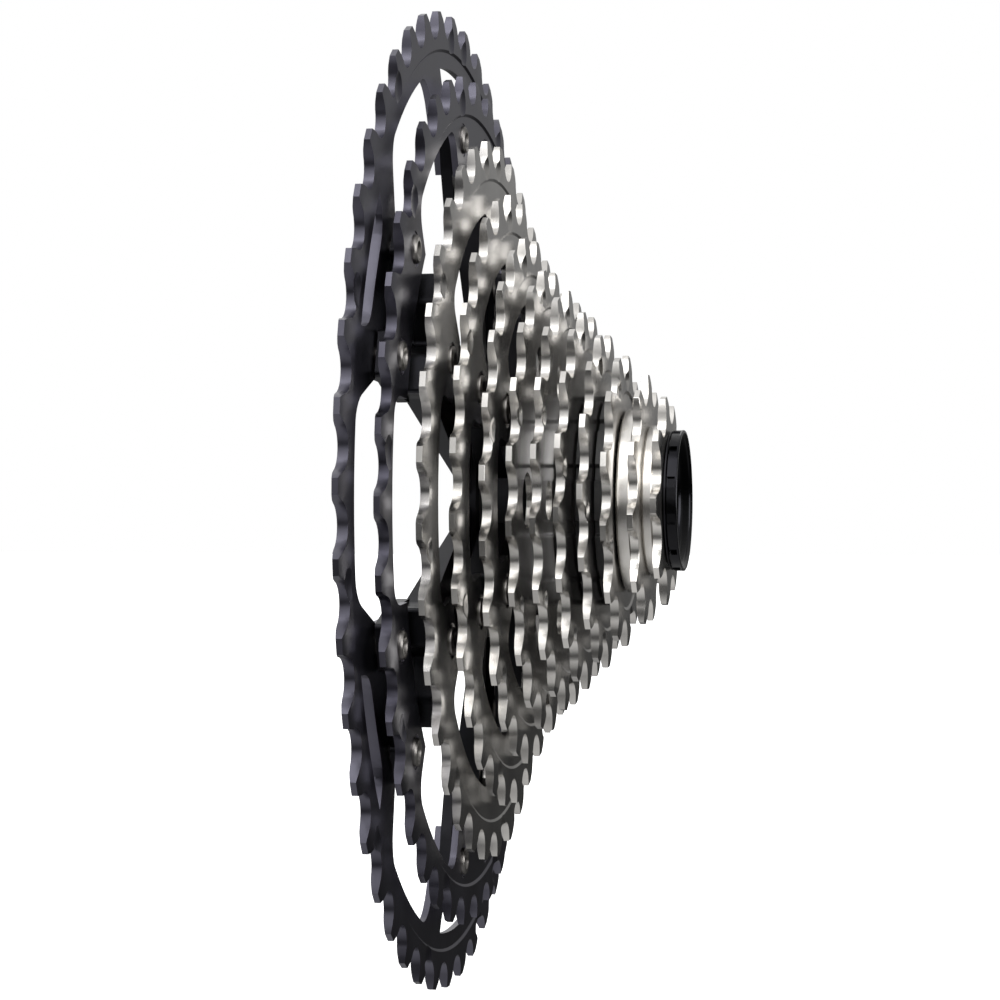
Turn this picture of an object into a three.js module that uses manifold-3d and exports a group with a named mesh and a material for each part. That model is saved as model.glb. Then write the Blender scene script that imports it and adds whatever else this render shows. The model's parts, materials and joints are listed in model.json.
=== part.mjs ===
// Twelve-speed bicycle cassette, 9 to 45 teeth, for a half-inch pitch chain.
//
// Units are millimetres. The wheel axis is Y: the small end and the lock ring point to -Y, and Z is up.
// The origin is on the axis, in the plane where the spider's hub seats on the freehub's shoulder. The two
// largest sprockets overhang that plane towards the spokes.
// Every piece is drawn in its own plane (x across, y up) and stretched along z, which is the distance
// from the seat towards the small end; one turned group then lays z along -Y.

import * as THREE from "three";
import { mergeVertices } from "three/addons/utils/BufferGeometryUtils.js";
import Module from "manifold-3d";

const wasm = await Module();
wasm.setup();

// ---- driving dimensions ----
const CHAIN_PITCH = 12.7;
const ROLLER_SEAT = 3.95; // radius of the seat that a chain roller drops into
const FIRST_PLANE = -5.0; // middle plane of the largest sprocket
const SPROCKET_STEP = 3.56; // from one sprocket's middle plane to the next, apart from the wider steps below
const ALLOY_PLATE = 1.8;
const STEEL_PLATE = 1.6;
const FIT_GAP = 0.3; // left between pieces that touch

const BORE = 15.8; // freehub body, with its clearance
const NOSE_BORE = 12.5; // the two smallest sprockets sit past the freehub's end
const ARMS = 6;
const RIVET = { shank: 1.85, hole: 2.25, head: 2.9, tail: 2.6, height: 0.8 };
const BIG_RIVET_CIRCLE = 68.3;
const BIG_RIVET_SPREAD = 9.2; // degrees to each side of an arm
const LUG_SLOT = { inner: 75.9, outer: 81.8, half: 9.5 }; // opens each lug of the largest sprocket

// first is the angle of one tooth from straight up, in degrees, towards -X.
// Those on a spider have a ring with an inner radius, and lugs that reach in to a smaller radius: half is a
// lug's half angle at its end and foot the same where it leaves the ring; a knee is a bend between the two.
// A step is given where it is wider.
const SPROCKETS = [
  { teeth: 45, first: 0.6, alloy: true, ring: 81.5, slots: true,
    lug: { radius: 62, half: 11, knee: { radius: 69.4, half: 12.8 }, foot: 18.6 } },
  { teeth: 39, first: 7.4, step: 3.95, alloy: true, ring: 71, lug: { radius: 62.8, half: 13, foot: 15.5 } },
  { teeth: 33, first: 7.1, step: 4.35, ring: 54.8, lug: { radius: 45.4, half: 7.2, foot: 10 }, rivets: 49.2 },
  { teeth: 28, first: 3.5, ring: 45.5, lug: { radius: 36.4, half: 8.1, foot: 11 }, rivets: 39.7 },
  { teeth: 24, first: 9.5, ring: 37.8, lug: { radius: 29, half: 9, foot: 12 }, rivets: 32.5 },
  { teeth: 21, first: 10.6, windows: { radius: 5.1, circle: 27 } },
  { teeth: 19, first: 1.6, windows: { radius: 3.5, circle: 25.1 } },
  { teeth: 17, first: 9.2 },
  { teeth: 15, first: 15.1 },
  { teeth: 13, first: 19.0 },
  { teeth: 11, first: 1.1, step: 4.35, nose: true, collar: { radius: 17.3, bore: BORE } },
  { teeth: 9, first: 12.7, step: 3.75, nose: true, collar: { radius: 14.2, bore: NOSE_BORE } },
];
SPROCKETS.forEach((sprocket, i) => {
  sprocket.plane = i === 0 ? FIRST_PLANE : SPROCKETS[i - 1].plane + (sprocket.step ?? SPROCKET_STEP);
  sprocket.plate = sprocket.alloy ? ALLOY_PLATE : STEEL_PLATE;
});

const WASHER = { radius: 13.1, thickness: 0.3 };
const LOCK_RING = { flange: 13.3, thickness: 1.85, tube: 12.1, tubeBack: 24.8, bore: 10.2 };

// ---- finishes ----
const finish = (color, roughness, metalness) => new THREE.MeshStandardMaterial({ color, roughness, metalness });
const darkAlloy = () => finish(0x2c2d34, 0.42, 0.9);
const blackAlloy = () => finish(0x16171a, 0.5, 0.85);
const nickelSteel = () => finish(0xa9a49c, 0.3, 1.0);
const rivetSteel = () => finish(0x9a968c, 0.35, 1.0);
const spacerAlloy = () => finish(0xa6a7aa, 0.35, 0.95);
const spacerResin = () => finish(0x1c1c1e, 0.6, 0.0);

// ---- small helpers ----
const rad = THREE.MathUtils.degToRad;
// A point in a piece's plane; the angle is counted from straight up towards -x.
const polar = (radius, degrees) =>
  new THREE.Vector2(-radius * Math.sin(rad(degrees)), radius * Math.cos(rad(degrees)));
const armAngles = () => Array.from({ length: ARMS }, (_, k) => (k * 360) / ARMS);

function circlePoints(radius, sides, centre = new THREE.Vector2()) {
  return Array.from({ length: sides }, (_, i) => polar(radius, (i * 360) / sides).add(centre));
}

function extrude(outline, holes, back, front) {
  const shape = new THREE.Shape(outline);
  shape.holes = holes.map((points) => new THREE.Path(points));
  const geometry = new THREE.ExtrudeGeometry(shape, { depth: front - back, bevelEnabled: false });
  return geometry.translate(0, 0, back);
}

function toSolid(geometry) {
  const bare = geometry.clone();
  bare.deleteAttribute("normal");
  bare.deleteAttribute("uv");
  const merged = mergeVertices(bare, 1e-4);
  const vertProperties = new Float32Array(merged.attributes.position.array);
  const triVerts = new Uint32Array(merged.index.array);
  return new wasm.Manifold(new wasm.Mesh({ numProp: 3, vertProperties, triVerts }));
}

function join(geometries) {
  const whole = geometries.map(toSolid).reduce((sum, solid) => sum.add(solid));
  const mesh = whole.getMesh();
  const geometry = new THREE.BufferGeometry();
  geometry.setAttribute("position", new THREE.BufferAttribute(mesh.vertProperties, 3));
  geometry.setIndex(new THREE.BufferAttribute(mesh.triVerts, 1));
  geometry.computeVertexNormals();
  return geometry;
}

const cassette = new THREE.Group();
cassette.rotation.x = Math.PI / 2;

function place(name, geometry, material) {
  const mesh = new THREE.Mesh(geometry, material);
  mesh.name = name;
  cassette.add(mesh);
}

// ---- sprockets ----
const pitchRadius = (teeth) => CHAIN_PITCH / 2 / Math.sin(Math.PI / teeth);
const TOOTH_TOP = 1.15; // how far a tooth stands above the pitch circle
const tipRadius = (teeth) => pitchRadius(teeth) + TOOTH_TOP;

// Each tooth has a flat land at its tip, and the gap beside it is a roller seat of three points.
function toothedOutline({ teeth, first }) {
  const step = 360 / teeth;
  const pitch = pitchRadius(teeth);
  const tip = tipRadius(teeth);
  const halfLand = THREE.MathUtils.radToDeg(1.4 / tip);
  const outline = [];
  for (let k = 0; k < teeth; k++) {
    const tooth = first + k * step;
    outline.push(polar(tip, tooth - halfLand), polar(tip, tooth + halfLand));
    for (const swing of [-65, 0, 65]) {
      const across = ROLLER_SEAT * Math.sin(rad(swing));
      const radius = Math.hypot(pitch - ROLLER_SEAT * Math.cos(rad(swing)), across);
      outline.push(polar(radius, tooth + step / 2 + THREE.MathUtils.radToDeg(across / radius)));
    }
  }
  return outline;
}

// The inside edge of a ring sprocket: long arcs, with a lug reaching inwards at each spider arm.
function ringInside({ ring, lug }) {
  const points = [];
  for (const arm of armAngles()) {
    if (lug.knee) points.push(polar(lug.knee.radius, arm - lug.knee.half));
    for (const share of [-1, -0.35, 0.35, 1]) points.push(polar(lug.radius, arm + share * lug.half));
    if (lug.knee) points.push(polar(lug.knee.radius, arm + lug.knee.half));
    const open = 360 / ARMS - 2 * lug.foot;
    for (let i = 0; i <= 6; i++) points.push(polar(ring, arm + lug.foot + (open * i) / 6));
  }
  return points;
}

const rivetPlaces = (sprocket) =>
  sprocket.rivets ? armAngles().map((arm) => ({ arm, at: polar(sprocket.rivets, arm) })) : [];
const bigRivetPlaces = () =>
  armAngles().flatMap((arm) => [-1, 1].map((side) => polar(BIG_RIVET_CIRCLE, arm + side * BIG_RIVET_SPREAD)));

// A slot that follows the ring, with its inner edge curving out to meet the ring at both ends.
function lugSlot(arm) {
  const { inner, outer, half } = LUG_SLOT;
  const outside = [-1, -0.5, 0, 0.5, 1].map((share) => polar(outer, arm + share * half));
  const inside = [0.75, 0.4, 0, -0.4, -0.75].map((share) => polar(inner, arm + share * half));
  return [...outside, ...inside];
}

function sprocketHoles(sprocket) {
  const holes = [];
  if (sprocket.ring) holes.push(ringInside(sprocket));
  else holes.push(circlePoints(sprocket.nose ? NOSE_BORE : BORE, 36));
  for (const { at } of rivetPlaces(sprocket)) holes.push(circlePoints(RIVET.hole, 8, at));
  if (sprocket.alloy) for (const at of bigRivetPlaces()) holes.push(circlePoints(RIVET.hole, 8, at));
  if (sprocket.slots) for (const arm of armAngles()) holes.push(lugSlot(arm));
  if (sprocket.windows) {
    for (const arm of armAngles()) {
      const centre = polar(sprocket.windows.circle, arm + 180 / ARMS);
      holes.push(circlePoints(sprocket.windows.radius, 10, centre));
    }
  }
  return holes;
}

function sprocketGeometry(sprocket, previous) {
  const back = sprocket.plane - sprocket.plate / 2;
  const plate = extrude(toothedOutline(sprocket), sprocketHoles(sprocket), back, back + sprocket.plate);
  if (!sprocket.collar) return plate;
  const collarBack = previous.plane + previous.plate / 2 + FIT_GAP;
  const { radius, bore } = sprocket.collar;
  return join([plate, extrude(circlePoints(radius, 36), [circlePoints(bore, 36)], collarBack, back + 0.5)]);
}

SPROCKETS.forEach((sprocket, i) => {
  const material = sprocket.alloy ? darkAlloy() : nickelSteel();
  place(`sprocket_${sprocket.teeth}t`, sprocketGeometry(sprocket, SPROCKETS[i - 1]), material);
});

const byTeeth = (teeth) => SPROCKETS.find((sprocket) => sprocket.teeth === teeth);
const backOf = (teeth) => byTeeth(teeth).plane - byTeeth(teeth).plate / 2;
const frontOf = (teeth) => byTeeth(teeth).plane + byTeeth(teeth).plate / 2;

// ---- spiders ----
// A flat plate along an arm. The edge is one side of it, as distances out from the axis and across from the
// arm's middle line; the other side is its mirror image.
function armPlate(arm, edge, back, front, holeCentres) {
  const out = polar(1, arm);
  const side = new THREE.Vector2(-out.y, out.x);
  const point = ([along, across]) => out.clone().multiplyScalar(along).addScaledVector(side, across);
  const mirrored = edge.filter(([, across]) => across > 0).map(([along, across]) => [along, -across]).reverse();
  const holes = holeCentres.map((centre) => circlePoints(RIVET.hole, 8, centre));
  return extrude([...edge, ...mirrored].map(point), holes, back, front);
}

const hub = (radius, back, front) => extrude(circlePoints(radius, 40), [circlePoints(BORE, 36)], back, front);

// The large spider's arms lean back as they go out, widen and split in two; their thin ends are clamped
// between the two largest sprockets.
const ARM_EDGE = [[17.8, 9], [32.6, 9.7], [43.6, 10.4], [54.4, 10.8], [58.5, 12.6], [59.8, 5.5], [54, 0]];
const PAD_EDGE = [[52, 10.6], [56, 12.4], [62, 14.8], [69.9, 16.4], [71.3, 7.8], [59.8, 5.5], [54, 0]];
const leaningBack = (along) => 3.7 - 0.118 * along;
const armBack = frontOf(45) + FIT_GAP;

function leaningPlate(arm, edge, front, holeCentres) {
  const plate = armPlate(arm, edge, front - 1, front, holeCentres);
  const out = polar(1, arm);
  const position = plate.attributes.position;
  for (let i = 0; i < position.count; i++) {
    const along = position.getX(i) * out.x + position.getY(i) * out.y;
    if (position.getZ(i) < front - 0.5) position.setZ(i, leaningBack(along));
  }
  return plate;
}

const largeSpider = [hub(19.8, 0, frontOf(33))];
for (const arm of armAngles()) {
  const pair = [-1, 1].map((side) => polar(BIG_RIVET_CIRCLE, arm + side * BIG_RIVET_SPREAD));
  largeSpider.push(leaningPlate(arm, ARM_EDGE, backOf(33) - FIT_GAP, [polar(49.2, arm)]));
  largeSpider.push(armPlate(arm, PAD_EDGE, armBack, backOf(39) - FIT_GAP, pair));
}
place("large_spider", join(largeSpider), blackAlloy());

const smallBack = frontOf(33) + FIT_GAP;
const smallSpider = [hub(19.4, smallBack, backOf(21) - FIT_GAP)];
for (const arm of armAngles()) {
  const inner = [[17.8, 6], [35.3, 5]];
  const outer = [[35, 5], [43, 4.5]];
  smallSpider.push(armPlate(arm, inner, smallBack, backOf(24) - FIT_GAP, [polar(32.5, arm)]));
  smallSpider.push(armPlate(arm, outer, smallBack, backOf(28) - FIT_GAP, [polar(39.7, arm)]));
}
place("small_spider", join(smallSpider), blackAlloy());

// ---- rivets ----
// A shank with a formed tail behind and a low head in front.
function rivet(at, back, front) {
  const { shank, head, tail, height } = RIVET;
  const tailFront = back - FIT_GAP;
  const headBack = front + FIT_GAP;
  const profile = [
    [0, tailFront - height], [tail, tailFront - height], [tail, tailFront], [shank, tailFront],
    [shank, headBack], [head, headBack], [head * 0.8, headBack + height], [0, headBack + height],
  ].map(([radius, z]) => new THREE.Vector2(radius, z));
  return new THREE.LatheGeometry(profile, 8).rotateX(Math.PI / 2).translate(at.x, at.y, 0);
}

bigRivetPlaces().forEach((at, i) => {
  place(`large_rivet_${i + 1}`, rivet(at, backOf(45), frontOf(39)), rivetSteel());
});
for (const [teeth, back] of [[33, leaningBack(52)], [28, smallBack], [24, smallBack]]) {
  rivetPlaces(byTeeth(teeth)).forEach(({ at }, i) => {
    place(`rivet_${teeth}t_${i + 1}`, rivet(at, back, frontOf(teeth)), rivetSteel());
  });
}

// ---- spacers between the loose sprockets ----
// A plain ring whose outer edge is notched all round.
function notchedRing(radius, depth, notches, bore, back, front) {
  const outline = [];
  for (let k = 0; k < notches; k++) {
    for (const [share, r] of [[-0.35, radius], [0.35, radius], [0.4, radius - depth], [0.6, radius - depth]]) {
      outline.push(polar(r, ((k + share) * 360) / notches));
    }
  }
  return extrude(outline, [circlePoints(bore, 36)], back, front);
}

for (const [inner, outer] of [[21, 19], [19, 17], [17, 15], [15, 13]]) {
  const ring = notchedRing(19.8, 0.9, 12, BORE, frontOf(inner) + FIT_GAP, backOf(outer) - FIT_GAP);
  place(`spacer_${inner}t_${outer}t`, ring, outer > 15 ? spacerAlloy() : spacerResin());
}

// ---- lock ring and its washer ----
const washerBack = frontOf(9) + FIT_GAP;
const washerFront = washerBack + WASHER.thickness;
const washerHole = [circlePoints(NOSE_BORE, 36)];
place("lock_ring_washer", extrude(circlePoints(WASHER.radius, 36), washerHole, washerBack, washerFront), blackAlloy());

const { flange, thickness, tube, tubeBack, bore } = LOCK_RING;
const flangeBack = washerFront + FIT_GAP;
const lipBack = flangeBack + thickness - 0.35;
const lockRing = join([
  notchedRing(flange - 0.05, 0.7, 12, bore, flangeBack, lipBack + 0.1),
  extrude(circlePoints(flange, 36), [circlePoints(bore, 36)], lipBack, flangeBack + thickness),
  extrude(circlePoints(tube, 36), [circlePoints(bore, 36)], tubeBack, flangeBack + 0.5),
]);
place("lock_ring", lockRing, blackAlloy());

export default cassette;
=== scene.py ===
import json
import math

import bpy
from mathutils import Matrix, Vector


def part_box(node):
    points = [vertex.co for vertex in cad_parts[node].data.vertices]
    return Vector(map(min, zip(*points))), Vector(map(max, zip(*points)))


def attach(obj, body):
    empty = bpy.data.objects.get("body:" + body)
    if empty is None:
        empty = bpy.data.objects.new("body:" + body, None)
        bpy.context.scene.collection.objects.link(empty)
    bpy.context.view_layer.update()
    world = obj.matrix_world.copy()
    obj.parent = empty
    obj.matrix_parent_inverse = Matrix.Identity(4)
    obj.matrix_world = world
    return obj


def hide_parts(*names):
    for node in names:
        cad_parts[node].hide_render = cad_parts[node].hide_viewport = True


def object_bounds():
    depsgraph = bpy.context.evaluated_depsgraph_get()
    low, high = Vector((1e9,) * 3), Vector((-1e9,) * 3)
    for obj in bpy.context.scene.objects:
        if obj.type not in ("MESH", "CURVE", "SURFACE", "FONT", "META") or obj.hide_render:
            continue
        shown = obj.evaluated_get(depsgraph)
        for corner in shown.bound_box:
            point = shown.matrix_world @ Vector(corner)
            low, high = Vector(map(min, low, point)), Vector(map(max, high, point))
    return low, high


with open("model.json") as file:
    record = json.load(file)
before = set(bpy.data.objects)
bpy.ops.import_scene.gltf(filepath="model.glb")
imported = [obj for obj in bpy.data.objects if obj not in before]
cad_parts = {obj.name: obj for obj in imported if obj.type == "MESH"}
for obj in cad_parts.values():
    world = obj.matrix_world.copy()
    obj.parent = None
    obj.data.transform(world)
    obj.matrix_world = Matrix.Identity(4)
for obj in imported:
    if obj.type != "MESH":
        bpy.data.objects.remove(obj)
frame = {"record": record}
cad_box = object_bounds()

# ---- studio ----
# A pale floor that the cassette stands on, an even white surround with a darker ground, one broad lamp
# above and in front, and a weaker one by the small end. The camera stands level, a little off square.
MM = 0.001
CAMERA_YAW = 10.5
CAMERA_PLACE = (-506.8, -98.4, 0.1)
LENS = 97.3

scene = bpy.context.scene
scene.view_settings.view_transform = "Standard"
bpy.ops.object.select_all(action="DESELECT")
bpy.ops.object.camera_add(
    location=[value * MM for value in CAMERA_PLACE],
    rotation=(math.radians(90), 0, math.radians(CAMERA_YAW - 90)),
)
scene.camera = bpy.context.object
scene.camera.data.lens = LENS
scene.camera.data.clip_start = 0.01

SURROUND = (  # height of a direction, from -1 below to 1 above, and its brightness
    (-1.0, 0.7),
    (-0.6, 0.4),
    (-0.3, 0.07),
    (-0.08, 0.09),
    (0.08, 0.7),
    (0.35, 0.95),
    (1.0, 1.15),
)
BACKGROUND = 1.0
FLAG = 0.35  # how much of the surround's light is left behind the cassette, towards the small end

world = bpy.data.worlds.new("studio_surround")
scene.world = world
world.use_nodes = True
nodes = world.node_tree.nodes
links = world.node_tree.links
nodes.clear()
direction = nodes.new("ShaderNodeTexCoord")
height = nodes.new("ShaderNodeSeparateXYZ")
share = nodes.new("ShaderNodeMapRange")
share.inputs["From Min"].default_value = -1
ramp = nodes.new("ShaderNodeValToRGB")
while len(ramp.color_ramp.elements) < len(SURROUND):
    ramp.color_ramp.elements.new(0.5)
for stop, (level, brightness) in zip(ramp.color_ramp.elements, SURROUND):
    stop.position = (level + 1) / 2
    stop.color = (brightness, brightness, brightness, 1)
lit = nodes.new("ShaderNodeBackground")
plain = nodes.new("ShaderNodeBackground")
plain.inputs["Strength"].default_value = BACKGROUND
plain.inputs["Color"].default_value = (1, 1, 1, 1)
seen = nodes.new("ShaderNodeLightPath")
mix = nodes.new("ShaderNodeMixShader")
out = nodes.new("ShaderNodeOutputWorld")
links.new(direction.outputs["Generated"], height.inputs[0])
links.new(height.outputs["Z"], share.inputs["Value"])
links.new(share.outputs["Result"], ramp.inputs["Fac"])
links.new(ramp.outputs["Color"], lit.inputs["Color"])
sideways = nodes.new("ShaderNodeMapRange")
sideways.interpolation_type = "SMOOTHSTEP"
sideways.inputs["From Min"].default_value = -0.12
sideways.inputs["From Max"].default_value = 0.22
behind = nodes.new("ShaderNodeMapRange")
behind.interpolation_type = "SMOOTHSTEP"
behind.inputs["From Min"].default_value = 0.1
behind.inputs["From Max"].default_value = 0.6
flagged = nodes.new("ShaderNodeMix")
flagged.inputs["A"].default_value = 1
flag = nodes.new("ShaderNodeMapRange")
flag.inputs["To Min"].default_value = FLAG
links.new(height.outputs["Y"], sideways.inputs["Value"])
links.new(height.outputs["X"], behind.inputs["Value"])
links.new(sideways.outputs["Result"], flag.inputs["Value"])
links.new(behind.outputs["Result"], flagged.inputs["Factor"])
links.new(flag.outputs["Result"], flagged.inputs["B"])
links.new(flagged.outputs["Result"], lit.inputs["Strength"])
links.new(seen.outputs["Is Camera Ray"], mix.inputs["Fac"])
links.new(lit.outputs["Background"], mix.inputs[1])
links.new(plain.outputs["Background"], mix.inputs[2])
links.new(mix.outputs["Shader"], out.inputs["Surface"])

LAMPS = (  # name, place, size, watts
    ("top_lamp", (-0.55, -0.25, 0.75), 0.9, 6),
    ("end_lamp", (-0.25, -0.9, 0.2), 0.6, 5),
)
for name, place, size, watts in LAMPS:
    bpy.ops.object.light_add(type="AREA", location=place)
    lamp = bpy.context.object
    lamp.name = name
    lamp.data.size = size
    lamp.data.energy = watts
    aim = lamp.location.normalized()
    lamp.rotation_mode = "QUATERNION"
    lamp.rotation_quaternion = aim.to_track_quat("Z", "Y")

FLOOR_SIZE = 8.0
FLOOR_GAP = 0.2 * MM

bpy.ops.object.select_all(action="DESELECT")
bpy.ops.mesh.primitive_plane_add(size=FLOOR_SIZE, location=(0, 0, cad_box[0].z - FLOOR_GAP))
floor = bpy.context.object
floor.name = "floor"
floor.visible_glossy = False
floor.visible_diffuse = False
paint = bpy.data.materials.new("floor_paint")
paint.use_nodes = True
shader = paint.node_tree.nodes["Principled BSDF"]
shader.inputs["Base Color"].default_value = (0.9, 0.9, 0.9, 1)
shader.inputs["Roughness"].default_value = 1.0
shader.inputs["Specular IOR Level"].default_value = 0.0
shader.inputs["Emission Color"].default_value = (1, 1, 1, 1)
shader.inputs["Emission Strength"].default_value = 0.75
floor.data.materials.append(paint)

# ---- the two largest sprockets ----
# Milled from aluminium plate and anodised a dark charcoal. Each is a toothed rim, thicker than the web inside
# it, with six lugs that reach in to the spider's arms and shallow scoops that lift the chain. The largest has
# a curved slot in each lug.
CHAIN_PITCH = 12.7
ROLLER_SEAT = 3.95
TOOTH_TOP = 1.15
TIP_LAND = 2.7
TIP_THICKNESS = 1.05
TIP_CHAMFER = 2.0  # how far in from its tip a tooth starts to get thinner
RIM_FOOT = 2.4  # how far inside the tooth roots the rim starts to rise from the web
RIM_EDGE = 1.9  # where it reaches its full thickness
RIM_TOP = 1.0  # where its flat band ends and the teeth begin to take their own outline
SHARP_EDGE = 32  # degrees; an edge that turns more than this is broken
SMOOTH_EDGE = 20  # degrees; an edge that turns less than this is shaded as a curve
ARMS = tuple(range(0, 360, 60))
BODIES = frame["record"]["behaviour"]["bodies"]


def polar(radius, degrees):
    """A point in a piece's own plane, at an angle counted from straight up towards -x."""
    turn = math.radians(degrees)
    return (-radius * math.sin(turn), radius * math.cos(turn))


def reach(node):
    """How far a node's back and front lie from the seat towards the small end, in millimetres."""
    low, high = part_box(node)
    return -high.y / MM, -low.y / MM


def outlined(name, outline, back, front, rounding=0.0, corners=None):
    """A flat piece: an outline, with all or some of its corners rounded, stretched from back to front."""
    bpy.ops.object.select_all(action="DESELECT")
    bpy.ops.mesh.primitive_circle_add(vertices=len(outline), fill_type="NGON")
    piece = bpy.context.object
    piece.name = name
    for vertex, (x, y) in zip(piece.data.vertices, outline):
        vertex.co = (x * MM, y * MM, back * MM)
    bpy.ops.object.mode_set(mode="EDIT")
    bpy.ops.mesh.select_mode(type="VERT")
    bpy.ops.mesh.select_all(action="DESELECT")
    bpy.ops.object.mode_set(mode="OBJECT")
    for k, vertex in enumerate(piece.data.vertices):
        vertex.select = corners is None or k in corners
    bpy.ops.object.mode_set(mode="EDIT")
    if rounding:
        bpy.ops.mesh.bevel(offset=rounding * MM, segments=5, affect="VERTICES")
    bpy.ops.mesh.select_all(action="SELECT")
    bpy.ops.mesh.extrude_region_move(TRANSFORM_OT_translate={"value": (0, 0, (front - back) * MM)})
    bpy.ops.mesh.select_all(action="SELECT")
    bpy.ops.mesh.normals_make_consistent(inside=False)
    bpy.ops.object.mode_set(mode="OBJECT")
    return piece


def turned(name, profile, steps=48, at=(0, 0), closed=True):
    """A round piece: a profile of radius and height, spun about an axis through the point at."""
    bpy.ops.object.select_all(action="DESELECT")
    bpy.ops.mesh.primitive_circle_add(vertices=len(profile), fill_type="NOTHING")
    piece = bpy.context.object
    piece.name = name
    for vertex, (radius, z) in zip(piece.data.vertices, profile):
        vertex.co = ((at[0] + radius) * MM, at[1] * MM, z * MM)
    last = len(profile) - 1
    for edge in piece.data.edges:
        edge.select = not closed and set(edge.vertices) == {0, last}
    for vertex in piece.data.vertices:
        vertex.select = False
    bpy.ops.object.mode_set(mode="EDIT")
    bpy.ops.mesh.select_mode(type="EDGE")
    if not closed:
        bpy.ops.mesh.delete(type="EDGE")
    bpy.ops.mesh.select_all(action="SELECT")
    bpy.ops.mesh.spin(
        steps=steps, angle=2 * math.pi, center=(at[0] * MM, at[1] * MM, 0), axis=(0, 0, 1)
    )
    bpy.ops.mesh.select_all(action="SELECT")
    bpy.ops.mesh.remove_doubles(threshold=0.004 * MM)
    bpy.ops.mesh.normals_make_consistent(inside=False)
    bpy.ops.mesh.select_mode(type="VERT")
    bpy.ops.object.mode_set(mode="OBJECT")
    return piece


def joined(pieces, name):
    """Several pieces as one object."""
    bpy.ops.object.select_all(action="DESELECT")
    for piece in pieces:
        piece.select_set(True)
    bpy.context.view_layer.objects.active = pieces[0]
    bpy.ops.object.join()
    pieces[0].name = name
    return pieces[0]


def combined(piece, tool, operation):
    """Cuts the tool out of the piece, or unites it with the piece, and clears the tool away."""
    bpy.ops.object.select_all(action="DESELECT")
    piece.select_set(True)
    bpy.context.view_layer.objects.active = piece
    boolean = piece.modifiers.new("combine", "BOOLEAN")
    boolean.operation = operation
    boolean.object = tool
    boolean.solver = "EXACT"
    bpy.ops.object.modifier_apply(modifier=boolean.name)
    bpy.data.objects.remove(tool, do_unlink=True)
    return piece


def around(piece, name):
    """Copies a piece to every spider arm and joins the copies."""
    copies = [piece]
    for arm in ARMS[1:]:
        copy = piece.copy()
        copy.data = piece.data.copy()
        bpy.context.scene.collection.objects.link(copy)
        copy.rotation_euler.z = math.radians(arm)
        copies.append(copy)
    bpy.ops.object.select_all(action="DESELECT")
    for copy in copies:
        copy.select_set(True)
    bpy.context.view_layer.objects.active = piece
    bpy.ops.object.transform_apply(location=False, rotation=True, scale=False)
    return joined(copies, name)


def finished(piece, node, material, edge=0.15):
    """Breaks a piece's edges, lays it along the wheel axis and puts it in place of its CAD node."""
    bpy.ops.object.select_all(action="DESELECT")
    piece.select_set(True)
    bpy.context.view_layer.objects.active = piece
    piece.name = node + "_finished"
    piece.rotation_euler.x = math.radians(90)
    bpy.ops.object.transform_apply(location=True, rotation=True, scale=True)
    if edge:
        bevel = piece.modifiers.new("broken_edges", "BEVEL")
        bevel.width = edge * MM
        bevel.segments = 1
        bevel.limit_method = "ANGLE"
        bevel.angle_limit = math.radians(SHARP_EDGE)
        bpy.ops.object.modifier_apply(modifier=bevel.name)
    bpy.ops.object.shade_smooth_by_angle(angle=math.radians(SMOOTH_EDGE))
    even = piece.modifiers.new("flat_faces", "WEIGHTED_NORMAL")
    even.weight = 90
    even.keep_sharp = True
    bpy.ops.object.modifier_apply(modifier=even.name)
    piece.data.materials.clear()
    piece.data.materials.append(material)
    body = next(name for name, members in BODIES.items() if node in members)
    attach(piece, body)
    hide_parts(node)
    return piece


def tooth_edge(teeth):
    """One tooth's outline from gap to gap: radius and angle from the tooth's middle."""
    pitch = CHAIN_PITCH / 2 / math.sin(math.pi / teeth)
    half_step = 180 / teeth
    half = []
    for swing in (0, 14, 28, 42, 56, 68):
        across = ROLLER_SEAT * math.sin(math.radians(swing))
        rise = pitch - ROLLER_SEAT * math.cos(math.radians(swing))
        radius = math.hypot(rise, across)
        half.append((radius, half_step - math.degrees(math.atan2(across, rise))))
    tip = pitch + TOOTH_TOP
    land = math.degrees(TIP_LAND / 2 / tip)
    end_radius, end_angle = half[-1]
    for part in (0.45, 0.8):
        bulge = 0.12 * math.sin(math.pi * part) / tip
        angle = end_angle + (land - end_angle) * part + math.degrees(bulge)
        half.append((end_radius + (tip - end_radius) * part, angle))
    half.append((tip, land))
    return [(r, -a) for r, a in half] + [(tip, 0.0)] + [(r, a) for r, a in reversed(half)]


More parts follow.
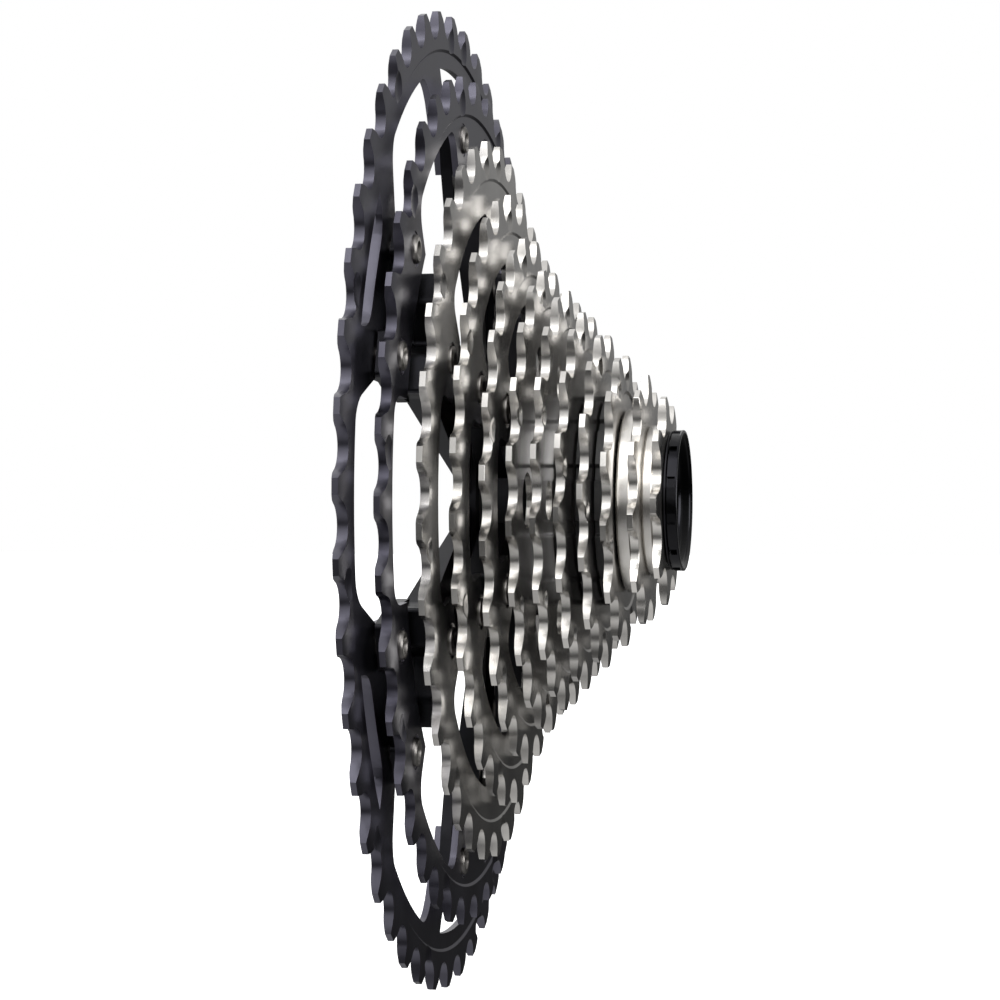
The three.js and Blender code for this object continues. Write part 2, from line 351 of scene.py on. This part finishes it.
def toothed_plate(teeth, first, inner, middle, thickness, recess=0.0):
    """A toothed plate: one tooth's share of its front half as a grid, spun round and then mirrored.
    The web inside the toothed rim can be thinner by a recess on each side."""
    edge = tooth_edge(teeth)
    root = edge[0][0]
    tip = max(radius for radius, _ in edge)
    half = thickness / 2
    web = half - recess
    rows = 8
    bpy.ops.object.select_all(action="DESELECT")
    bpy.ops.mesh.primitive_grid_add(x_subdivisions=len(edge) - 1, y_subdivisions=rows - 1)
    plate = bpy.context.object
    for k, vertex in enumerate(plate.data.vertices):
        row, column = divmod(k, len(edge))
        radius, angle = edge[column]
        share_across = column / (len(edge) - 1) * 2 - 1
        even_angle = share_across * 180 / teeth
        lead_in = min(tip - TIP_CHAMFER, radius - 0.3)
        fade = max(0.0, 1 - (tip - radius) / TIP_CHAMFER)
        thin = half - (half - TIP_THICKNESS / 2) * fade
        r, a, z = (
            (inner, even_angle, 0),
            (inner, even_angle, web),
            (root - RIM_FOOT, even_angle, web),
            (root - RIM_EDGE, 0.5 * (even_angle + angle), half),
            (root - RIM_TOP, 0.5 * (even_angle + angle), half),
            (lead_in, angle, half),
            (radius, angle, thin),
            (radius, angle, 0),
        )[row]
        x, y = polar(r, first + a)
        vertex.co = (x * MM, y * MM, z * MM)
    bpy.ops.object.mode_set(mode="EDIT")
    bpy.ops.mesh.select_all(action="SELECT")
    step = 2 * math.pi / teeth
    bpy.ops.mesh.spin(
        steps=teeth - 1, dupli=True, angle=step * (teeth - 1), center=(0, 0, 0), axis=(0, 0, 1)
    )
    bpy.ops.mesh.select_all(action="SELECT")
    bpy.ops.mesh.remove_doubles(threshold=0.01 * MM)
    bpy.ops.object.mode_set(mode="OBJECT")
    mirror = plate.modifiers.new("other_side", "MIRROR")
    mirror.use_axis = (False, False, True)
    mirror.merge_threshold = 0.005 * MM
    bpy.ops.object.modifier_apply(modifier=mirror.name)
    plate.location.z = middle * MM
    bpy.ops.object.transform_apply(location=True, rotation=False, scale=False)
    bpy.ops.object.mode_set(mode="EDIT")
    bpy.ops.mesh.select_all(action="SELECT")
    bpy.ops.mesh.normals_make_consistent(inside=False)
    bpy.ops.object.mode_set(mode="OBJECT")
    return plate


def metal(name, light, dark, roughness, grain, dents):
    """A metal finish: two shades in soft patches, a fine grain, and shallow unevenness in the surface."""
    material = bpy.data.materials.new(name)
    material.use_nodes = True
    tree = material.node_tree
    principled = tree.nodes["Principled BSDF"]
    principled.inputs["Metallic"].default_value = 1.0
    place = tree.nodes.new("ShaderNodeTexCoord")
    patches = tree.nodes.new("ShaderNodeTexNoise")
    patches.inputs["Scale"].default_value = 90
    patches.inputs["Detail"].default_value = 3
    shades = tree.nodes.new("ShaderNodeValToRGB")
    shades.color_ramp.elements[0].position = 0.35
    shades.color_ramp.elements[1].position = 0.65
    shades.color_ramp.elements[0].color = (*dark, 1)
    shades.color_ramp.elements[1].color = (*light, 1)
    fine = tree.nodes.new("ShaderNodeTexNoise")
    fine.inputs["Scale"].default_value = 2600
    fine.inputs["Detail"].default_value = 2
    polish = tree.nodes.new("ShaderNodeMapRange")
    polish.inputs["To Min"].default_value = roughness[0]
    polish.inputs["To Max"].default_value = roughness[1]
    swell = tree.nodes.new("ShaderNodeTexNoise")
    swell.inputs["Scale"].default_value = 160
    swell.inputs["Detail"].default_value = 1
    uneven = tree.nodes.new("ShaderNodeBump")
    uneven.inputs["Strength"].default_value = 1.0
    uneven.inputs["Distance"].default_value = dents * MM
    gritty = tree.nodes.new("ShaderNodeBump")
    gritty.inputs["Strength"].default_value = 1.0
    gritty.inputs["Distance"].default_value = grain * MM
    link = tree.links.new
    for texture in (patches, fine, swell):
        link(place.outputs["Object"], texture.inputs["Vector"])
    link(patches.outputs["Fac"], shades.inputs["Fac"])
    link(shades.outputs["Color"], principled.inputs["Base Color"])
    link(patches.outputs["Fac"], polish.inputs["Value"])
    link(polish.outputs["Result"], principled.inputs["Roughness"])
    link(swell.outputs["Fac"], uneven.inputs["Height"])
    link(fine.outputs["Fac"], gritty.inputs["Height"])
    link(uneven.outputs["Normal"], gritty.inputs["Normal"])
    link(gritty.outputs["Normal"], principled.inputs["Normal"])
    return material


dark_alloy = metal(
    "charcoal_anodised", (0.118, 0.115, 0.142), (0.095, 0.092, 0.115), (0.26, 0.34), 0.001, 0.004
)

LUG_END = 62.0
BIG_RIVET_CIRCLE = 68.3
BIG_RIVET_SPREAD = 9.2
RIVET_HOLE = 2.1
COUNTERSINK = 3.05
BOSS = 1.05  # how much thicker the largest sprocket is behind the inner edge of each slot
BOSS_INNER = 71.2
BOSS_OUTER = 77
SLOT_INNER = 75.9
SLOT_OUTER = 81.8
SLOT_HALF = 9.5  # degrees to each side of an arm
SLOT_PARTS = (0.97, 0.93, 0.87, 0.78, 0.66, 0.5, 0.3, 0.1)


def rivet_holes(radius, spread, back, front, sink=0.5):
    """Cutters for the rivet holes of one arm, on its line or to both sides of it, sunk for the heads."""
    sides = (-spread, spread) if spread else (0,)
    return [
        turned(
            "hole",
            [
                (0, back - 1), (RIVET_HOLE, back - 1), (RIVET_HOLE, front - sink),
                (COUNTERSINK, front - sink), (COUNTERSINK + 0.3, front + 0.02),
                (COUNTERSINK + 0.3, front + 1), (0, front + 1),
            ],
            steps=20,
            at=polar(radius, side),
            closed=False,
        )
        for side in sides
    ]


def between_lugs(ring, foot, edge, back, front, rounding):
    """Cutter for the opening between one lug and the next. The edge is a lug's side from the ring inwards, as
    radius and half angle."""
    outline = [polar(ring, foot + (60 - 2 * foot) * k / 10) for k in range(11)]
    outline += [polar(radius, 60 - half) for radius, half in edge]
    outline += [polar(radius, half) for radius, half in reversed(edge)]
    return outlined("opening", outline, back - 1, front + 1, rounding, corners=(0, 10))


def scoops(teeth, first, every, front, size):
    """Cutters for the shallow scoops in the front face, one beside every few teeth."""
    root = CHAIN_PITCH / 2 / math.sin(math.pi / teeth) - ROLLER_SEAT
    profile = [
        (0, front - 0.55), (size * 0.6, front - 0.42), (size, front + 0.02), (size, front + 1),
        (0, front + 1),
    ]
    cutters = []
    for tooth in range(0, teeth, every):
        at = polar(root + 0.2, first + (tooth + 0.3) * 360 / teeth)
        cutters.append(turned("scoop", profile, steps=24, at=at, closed=False))
    return cutters


for teeth, first, ring, foot, edge, sink in (
    (45, 0.6, 81.5, 18.6, ((69.4, 12.8), (58, 10)), 0),
    (39, 7.4, 71.0, 15.5, ((58, 13),), 0.5),
):
    node = f"sprocket_{teeth}t"
    back, front = reach(node)
    piece = toothed_plate(teeth, first, LUG_END, (back + front) / 2, front - back, recess=0.3)
    if teeth == 45:
        outline = [polar(BOSS_INNER, angle) for angle in (10, 0, -10)]
        outline += [polar(BOSS_OUTER, angle) for angle in (-12, -6, 0, 6, 12)]
        boss = outlined("boss", outline, back - BOSS, back + 0.6)
        piece = combined(piece, around(boss, "bosses"), "UNION")
    tools = [between_lugs(ring, foot, edge, back, front, 4)]
    tools += rivet_holes(BIG_RIVET_CIRCLE, BIG_RIVET_SPREAD, back, front, sink=sink)
    if teeth == 45:
        outline = [polar(SLOT_OUTER, SLOT_HALF * (k / 8 - 1)) for k in range(17)]
        for part in SLOT_PARTS + tuple(-part for part in reversed(SLOT_PARTS)):
            radius = SLOT_INNER + (SLOT_OUTER - SLOT_INNER) * abs(part) ** 7
            outline.append(polar(radius, SLOT_HALF * part))
        tools.append(outlined("slot", outline, back - 2, front + 1))
    piece = combined(piece, around(joined(tools, "tools"), "tools"), "DIFFERENCE")
    piece = combined(piece, joined(scoops(teeth, first, 4, front, 3.0), "scoops"), "DIFFERENCE")
    finished(piece, node, dark_alloy)

# ---- sprockets riveted to the spiders ----
# Three stamped steel rings, nickel plated, each with a lug and one rivet at every arm. The faces keep the
# soft unevenness of rolled sheet.
nickel_steel = metal(
    "nickel_plated_steel", (0.62, 0.605, 0.58), (0.5, 0.485, 0.465), (0.2, 0.27), 0.0005, 0.0025
)

for teeth, first, ring, end, foot, tip, circle in (
    (33, 7.1, 54.8, 45.4, 10, 7.2, 49.2),
    (28, 3.5, 45.5, 36.4, 11, 8.1, 39.7),
    (24, 9.5, 37.8, 29.0, 12, 9, 32.5),
):
    node = f"sprocket_{teeth}t"
    back, front = reach(node)
    piece = toothed_plate(teeth, first, end, (back + front) / 2, front - back, recess=0.2)
    tools = [between_lugs(ring, foot, ((end - 4, tip),), back, front, 3)]
    tools += rivet_holes(circle, 0, back, front)
    piece = combined(piece, around(joined(tools, "tools"), "tools"), "DIFFERENCE")
    piece = combined(piece, joined(scoops(teeth, first, 4, front, 2.4), "scoops"), "DIFFERENCE")
    finished(piece, node, nickel_steel)

# ---- loose sprockets ----
# Five stamped steel sprockets that slide straight onto the freehub's splines. The two largest of them have
# six round windows.
BORE = 15.8
SPLINES = 9
SPLINE_DEPTH = 0.8


def splined_bore(back, front):
    """Cutter for a bore with a groove for each of the freehub's splines."""
    outline = []
    step = 360 / SPLINES
    for spline in range(SPLINES):
        start = spline * step
        outline += [polar(BORE, start + step * k / 10) for k in range(6)]
        outline += [polar(BORE + SPLINE_DEPTH, start + step * k / 10) for k in (5.3, 6.6, 8, 9.4)]
    return outlined("bore", outline, back - 1, front + 1)


for teeth, first, window, circle in (
    (21, 10.6, 5.1, 27.0),
    (19, 1.6, 3.5, 25.1),
    (17, 9.2, 0, 0),
    (15, 15.1, 0, 0),
    (13, 19.0, 0, 0),
):
    node = f"sprocket_{teeth}t"
    back, front = reach(node)
    piece = toothed_plate(teeth, first, BORE - 1, (back + front) / 2, front - back, recess=0.25)
    if window:
        outline = [polar(window, 15 * k) for k in range(24)]
        centre = polar(circle, 30)
        outline = [(x + centre[0], y + centre[1]) for x, y in outline]
        tool = outlined("window", outline, back - 1, front + 1)
        piece = combined(piece, around(tool, "windows"), "DIFFERENCE")
    piece = combined(piece, splined_bore(back, front), "DIFFERENCE")
    piece = combined(piece, joined(scoops(teeth, first, 3, front, 2.1), "scoops"), "DIFFERENCE")
    finished(piece, node, nickel_steel)

# ---- the two smallest sprockets ----
# Each is turned from one piece with the wide polished collar behind it, because they stand past the end of
# the freehub body.
STEEL_PLATE = 1.6
NOSE_BORE = 12.5

polished_steel = metal(
    "polished_collar_steel", (0.72, 0.7, 0.67), (0.62, 0.6, 0.57), (0.2, 0.26), 0.0005, 0.0015
)

for teeth, first, collar, bore in ((11, 1.1, 17.3, BORE), (9, 12.7, 14.2, NOSE_BORE - 1)):
    node = f"sprocket_{teeth}t"
    back, front = reach(node)
    plate_back = front - STEEL_PLATE
    piece = toothed_plate(teeth, first, NOSE_BORE - 1, front - STEEL_PLATE / 2, STEEL_PLATE)
    sleeve = turned(
        "collar",
        [
            (bore, back - 0.25), (collar - 0.35, back - 0.25), (collar, back + 0.1),
            (collar, plate_back - 0.4), (collar + 0.3, plate_back + 0.1), (collar + 0.3, plate_back + 0.6),
            (bore, plate_back + 0.6),
        ],
        steps=96,
    )
    piece = combined(piece, sleeve, "UNION")
    nose = turned(
        "nose_bore",
        [(0, back - 1), (NOSE_BORE, back - 1), (NOSE_BORE, front + 1), (0, front + 1)],
        steps=96,
        closed=False,
    )
    piece = combined(piece, nose, "DIFFERENCE")
    finished(piece, node, polished_steel)

# ---- spiders ----
# Two forged and milled aluminium carriers, black: a splined hub, and six arms that carry the riveted rings.
# The large one's arms lean back and fork to a rivet at each side, clamped between the largest sprockets.
black_alloy = metal(
    "black_anodised", (0.03, 0.03, 0.034), (0.018, 0.018, 0.02), (0.3, 0.4), 0.001, 0.004
)


def arm_plate(edge, back, front, rounding):
    """A flat plate along an arm. The edge is one side, as distances out and across; the other mirrors it."""
    outline = [(across, along) for along, across in edge]
    outline += [(-across, along) for along, across in reversed(edge) if across > 0]
    return outlined("arm", outline, back, front, rounding)


def hub(radius, back, front):
    """A hub ring whose bore is splined."""
    profile = [
        (BORE - 1, back), (radius - 0.5, back), (radius, back + 0.5), (radius, front - 0.5),
        (radius - 0.5, front), (BORE - 1, front),
    ]
    ring = turned("hub", profile, steps=96)
    return combined(ring, splined_bore(back, front), "DIFFERENCE")


_, front_45 = reach("sprocket_45t")
back_39, front_39 = reach("sprocket_39t")
back_33, front_33 = reach("sprocket_33t")
back_28, front_28 = reach("sprocket_28t")
back_24, front_24 = reach("sprocket_24t")
TOUCH = 0.03  # left between pieces that touch
LARGE_HUB = 19.8
SMALL_HUB = 19.4
LEAN_START = 3.73  # where the line of an arm's back meets the axis
LEAN = 0.118  # how far that line comes back with each millimetre out

_, large_front = reach("large_spider")
piece = hub(LARGE_HUB, 0, large_front)
arm_edge = ((17, 9), (32.6, 9.7), (43.6, 10.4), (54.4, 10.8), (58.5, 12.6), (59.8, 5.5), (54, 0))
arm = arm_plate(arm_edge, back_33 - 1, back_33 - TOUCH, 1.0)
for vertex in arm.data.vertices:
    if vertex.co.z < (back_33 - 0.5) * MM:
        vertex.co.z = LEAN_START * MM - LEAN * vertex.co.y
pad_edge = ((52, 10.6), (56, 12.4), (62, 14.8), (69.9, 16.4), (71.3, 7.8), (60, 5.7), (54.3, 0))
arm = combined(arm, arm_plate(pad_edge, front_45 + TOUCH, back_39 - TOUCH, 0.9), "UNION")
pocket_edge = ((26, 3.6), (41, 5.4), (44.5, 4.0), (44.5, 0))
pocket = arm_plate(pocket_edge, back_33 - 1.6, back_33 + 1, 1.2)
arm = combined(arm, pocket, "DIFFERENCE")
piece = combined(piece, around(arm, "arms"), "UNION")
finished(piece, "large_spider", black_alloy, edge=0.2)

small_back, small_front = reach("small_spider")
piece = hub(SMALL_HUB, small_back, small_front)
arm = arm_plate(((17, 6), (35.3, 5)), small_back + TOUCH, back_24 - TOUCH, 1.0)
step_out = arm_plate(((33, 5), (43, 4.5)), small_back + TOUCH, back_28 - TOUCH, 1.0)
arm = combined(arm, step_out, "UNION")
piece = combined(piece, around(arm, "arms"), "UNION")
finished(piece, "small_spider", black_alloy, edge=0.2)

# ---- rivets ----
# Plain steel, with a formed tail behind and a low dished head in front that sits in a countersink.
rivet_steel = metal(
    "rivet_steel", (0.3, 0.285, 0.27), (0.2, 0.19, 0.18), (0.28, 0.38), 0.001, 0.004
)

SHANK = 1.85
TAIL = 2.6
HEAD = 2.55
HEAD_RISE = 0.35
SEAT_DEPTH = 0.48


def rivet(node, front):
    """A rivet turned about its own axis, where its node lies."""
    low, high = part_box(node)
    at = ((low.x + high.x) / 2 / MM, (low.z + high.z) / 2 / MM)
    back, _ = reach(node)
    head = front + HEAD_RISE
    seat = front - SEAT_DEPTH
    profile = [
        (0, head - 0.45), (0.8, head - 0.45), (1.1, head - 0.3), (1.5, head), (2.1, head),
        (HEAD - 0.05, head - 0.3), (HEAD, seat), (SHANK, seat), (SHANK, back + 0.9), (TAIL, back + 0.9),
        (TAIL, back + 0.3), (TAIL - 0.4, back + 0.05), (0, back + 0.05),
    ]
    piece = turned(node, profile, steps=28, at=at, closed=False)
    finished(piece, node, rivet_steel, edge=0)


for number in range(1, 13):
    rivet(f"large_rivet_{number}", front_39)
for teeth, front in ((33, front_33), (28, front_28), (24, front_24)):
    for number in range(1, 7):
        rivet(f"rivet_{teeth}t_{number}", front)

# ---- spacers ----
# Rings between the loose sprockets, with a splined bore and notches round the rim. The two behind the 19 and
# 17 tooth sprockets are silver alloy, and the two behind the next ones are black moulded resin.
SPACER = 19.8
SPACER_NOTCH = 0.9
NOTCHES = 12


def notched_ring(name, radius, depth, bore, back, front):
    """A ring whose rim is notched all round."""
    outline = []
    for notch in range(NOTCHES):
        for part in (-0.35, -0.17, 0, 0.17, 0.35):
            outline.append(polar(radius, (notch + part) * 360 / NOTCHES))
        for part in (0.38, 0.62):
            outline.append(polar(radius - depth, (notch + part) * 360 / NOTCHES))
    ring = outlined(name, outline, back, front)
    return combined(ring, bore, "DIFFERENCE")


resin = bpy.data.materials.new("moulded_resin")
resin.use_nodes = True
nodes = resin.node_tree.nodes
link = resin.node_tree.links.new
shader = nodes["Principled BSDF"]
shader.inputs["Roughness"].default_value = 0.5
grain = nodes.new("ShaderNodeTexNoise")
grain.inputs["Scale"].default_value = 1800
spot = nodes.new("ShaderNodeTexCoord")
tint = nodes.new("ShaderNodeValToRGB")
tint.color_ramp.elements[0].color = (0.012, 0.012, 0.013, 1)
tint.color_ramp.elements[1].color = (0.035, 0.035, 0.036, 1)
rough = nodes.new("ShaderNodeBump")
rough.inputs["Distance"].default_value = 0.02 * MM
link(spot.outputs["Object"], grain.inputs["Vector"])
link(grain.outputs["Fac"], tint.inputs["Fac"])
link(tint.outputs["Color"], shader.inputs["Base Color"])
link(grain.outputs["Fac"], rough.inputs["Height"])
link(rough.outputs["Normal"], shader.inputs["Normal"])

spacer_alloy = metal("silver_alloy", (0.62, 0.62, 0.63), (0.54, 0.54, 0.55), (0.3, 0.38), 0.001, 0.004)

for inner, outer, material, slot in (
    (21, 19, spacer_alloy, "spacer_alloy"),
    (19, 17, spacer_alloy, "spacer_alloy"),
    (17, 15, resin, "spacer_resin"),
    (15, 13, resin, "spacer_resin"),
):
    node = f"spacer_{inner}t_{outer}t"
    back, front = reach(node)
    bore = splined_bore(back, front)
    piece = notched_ring(node, SPACER, SPACER_NOTCH, bore, back - 0.25, front + 0.25)
    finished(piece, node, material, edge=0.08)

# ---- lock ring and washer ----
# The lock ring is black anodised aluminium: a notched flange with a smooth lip and a deep glossy dish, and a
# tube with an outside thread and the tool's splines inside. A thin black washer lies behind the flange.
WASHER = 13.1
FLANGE = 13.3
FLANGE_THICKNESS = 1.85
FLANGE_NOTCH = 0.7
TUBE = 12.1
THREAD_DEPTH = 0.45
THREAD_PITCH = 1.0
RING_BORE = 10.2
TOOL_SPLINES = 12
TOOL_SPLINE_DEPTH = 0.9

back, front = reach("lock_ring_washer")
washer_profile = [(NOSE_BORE, back), (WASHER, back), (WASHER, front), (NOSE_BORE, front)]
piece = turned("washer", washer_profile, steps=72)
finished(piece, "lock_ring_washer", black_alloy, edge=0.05)

gloss_black = metal(
    "gloss_black_anodised", (0.02, 0.02, 0.022), (0.012, 0.012, 0.014), (0.12, 0.2), 0.001, 0.002
)

back, front = reach("lock_ring")
flange_back = front - FLANGE_THICKNESS
outline = []
for tooth in range(TOOL_SPLINES):
    for part, depth in ((0, 0), (0.45, 0), (0.5, TOOL_SPLINE_DEPTH), (0.95, TOOL_SPLINE_DEPTH)):
        outline.append(polar(RING_BORE + depth, (tooth + part) * 360 / TOOL_SPLINES))
tool_bore = outlined("tool_bore", outline, front - 9, front - 2.6)
blank = outlined("blank", [polar(RING_BORE - 1, 10 * k) for k in range(36)], flange_back - 1, front + 1)
piece = notched_ring("lock_ring", FLANGE - 0.05, FLANGE_NOTCH, blank, flange_back, front - 0.3)
lip = turned(
    "lip",
    [
        (RING_BORE - 1, front - 0.4), (FLANGE - 0.02, front - 0.4), (FLANGE - 0.02, front - 0.12),
        (FLANGE - 0.15, front), (RING_BORE - 1, front),
    ],
    steps=72,
)
piece = combined(piece, lip, "UNION")
thread = [(TUBE - 3, back)]
root = TUBE - THREAD_DEPTH
for turn in range(int((flange_back - back - 2) / THREAD_PITCH)):
    z = back + 0.6 + turn * THREAD_PITCH
    thread += [(root, z), (TUBE, z + 0.35), (TUBE, z + 0.5), (root, z + 0.85)]
thread += [(TUBE - 0.5, flange_back), (TUBE - 0.5, flange_back + 0.8), (TUBE - 3, flange_back + 0.8)]
tube = turned("tube", thread, steps=72)
piece = combined(piece, tube, "UNION")
dish = turned(
    "dish",
    [
        (0, front + 1), (12.85, front + 1), (12.75, front - 0.02), (12.05, front - 0.35),
        (10.6, front - 2.4), (0, front - 2.4),
    ],
    steps=72,
    closed=False,
)
piece = combined(piece, dish, "DIFFERENCE")
through_profile = [(0, back - 1), (RING_BORE, back - 1), (RING_BORE, front + 2), (0, front + 2)]
through = turned("through", through_profile, steps=72, closed=False)
piece = combined(piece, through, "DIFFERENCE")
piece = combined(piece, tool_bore, "DIFFERENCE")
finished(piece, "lock_ring", gloss_black, edge=0.1)
